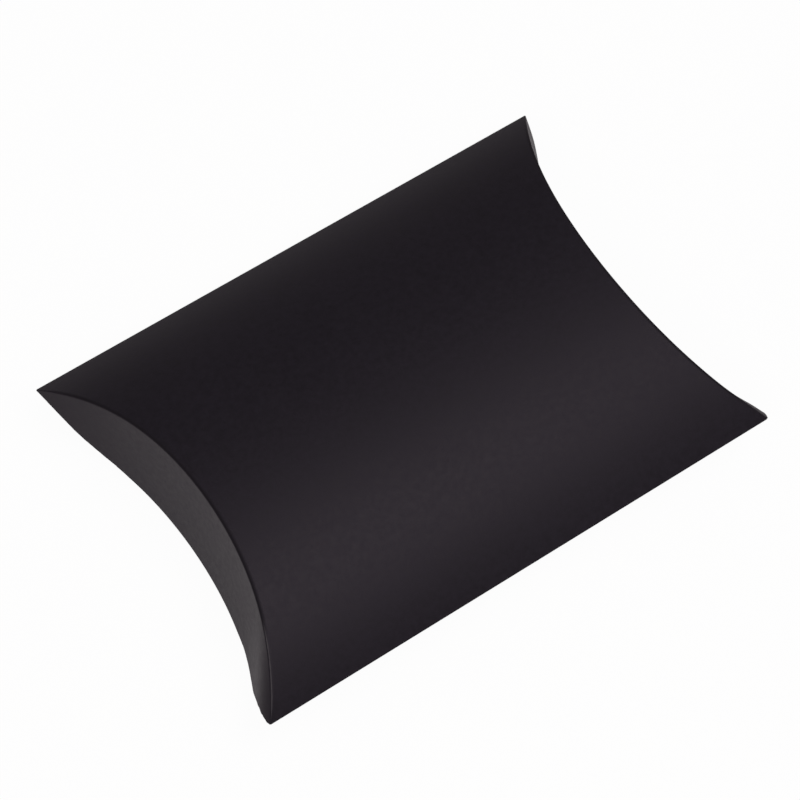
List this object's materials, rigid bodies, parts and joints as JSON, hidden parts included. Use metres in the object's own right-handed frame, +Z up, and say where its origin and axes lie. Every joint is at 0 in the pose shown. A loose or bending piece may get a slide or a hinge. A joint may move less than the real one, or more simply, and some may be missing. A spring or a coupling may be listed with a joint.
{
  "type": "pillow box",
  "caption": "Folded card pillow box: two bowed panels glued into a sleeve, closed at each end by curved tuck flaps that swing open.",
  "frame": {"origin": "middle of the narrow strip under the lower panel that the box rests on", "axes": "+X along the long folds from the left end to the right end, +Y from the front fold to the glued back fold, +Z up"},
  "size_m": [0.1621, 0.114, 0.0319],
  "materials": {
    "card": "matt black, uncoated",
    "glue": "dried adhesive film"
  },
  "bodies": {
    "sleeve": {"top_panel": "card", "bottom_panel": "card", "front_fold": "card", "back_fold": "card", "glue_tab": "card", "seam_glue": "glue", "left_outer_crease": "card", "right_outer_crease": "card", "left_inner_crease": "card", "right_inner_crease": "card"},
    "left_outer_flap": {"left_outer_flap": "card"},
    "left_inner_flap": {"left_inner_flap": "card"},
    "right_outer_flap": {"right_outer_flap": "card"},
    "right_inner_flap": {"right_inner_flap": "card"}
  },
  "joints": [
    {"name": "left_outer_hinge", "type": "hinge", "parent": "sleeve", "child": "left_outer_flap", "pos_m": [-0.0644, 0, 0.03194], "axis": [0, 1, 0], "range_deg": [0, 100]},
    {"name": "left_inner_hinge", "type": "hinge", "parent": "sleeve", "child": "left_inner_flap", "pos_m": [-0.0644, 0, -0.00006], "axis": [0, -1, 0], "range_deg": [0, 80]},
    {"name": "right_outer_hinge", "type": "hinge", "parent": "sleeve", "child": "right_outer_flap", "pos_m": [0.0644, 0, 0.03194], "axis": [0, -1, 0], "range_deg": [0, 100]},
    {"name": "right_inner_hinge", "type": "hinge", "parent": "sleeve", "child": "right_inner_flap", "pos_m": [0.0644, 0, -0.00006], "axis": [0, 1, 0], "range_deg": [0, 80]}
  ],
  "couplings": [
    {"joint": "left_inner_hinge", "follows": "left_outer_hinge", "ratio": 0.8},
    {"joint": "right_inner_hinge", "follows": "right_outer_hinge", "ratio": 0.8}
  ]
}
